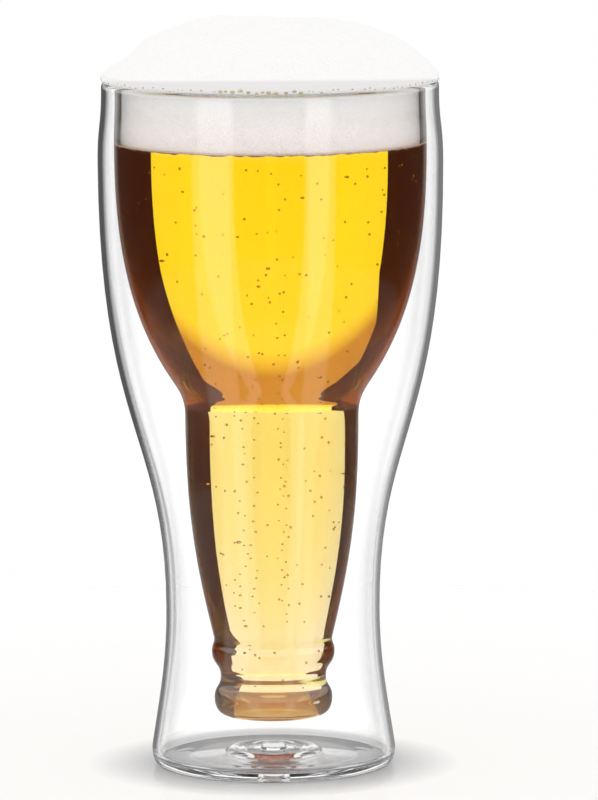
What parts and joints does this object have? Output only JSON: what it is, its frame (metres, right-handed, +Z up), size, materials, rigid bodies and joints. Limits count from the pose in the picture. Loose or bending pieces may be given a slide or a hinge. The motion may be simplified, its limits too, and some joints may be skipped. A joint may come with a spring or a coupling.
{
  "type": "double-walled beer glass",
  "caption": "Clear beer glass with a waisted outer wall and an inner vessel like an upturned bottle hung from its fused rim, filled with beer under a domed foam head.",
  "frame": {"origin": "middle of the foot, on the surface that the glass stands on", "axes": "+Z up along the glass's axis, +X to the right as pictured, the pictured side faces -Y"},
  "size_m": [0.086, 0.086, 0.1886],
  "materials": {
    "clear_glass": "polished",
    "clear_silicone": "satin",
    "pale_beer": "gloss",
    "beer_foam": "matte"
  },
  "bodies": {
    "root": {"outer_glass": "clear_glass", "inner_vessel": "clear_glass", "rim_bead": "clear_glass", "vent_plug": "clear_silicone", "beer": "pale_beer", "foam_head": "beer_foam"}
  },
  "joints": []
}
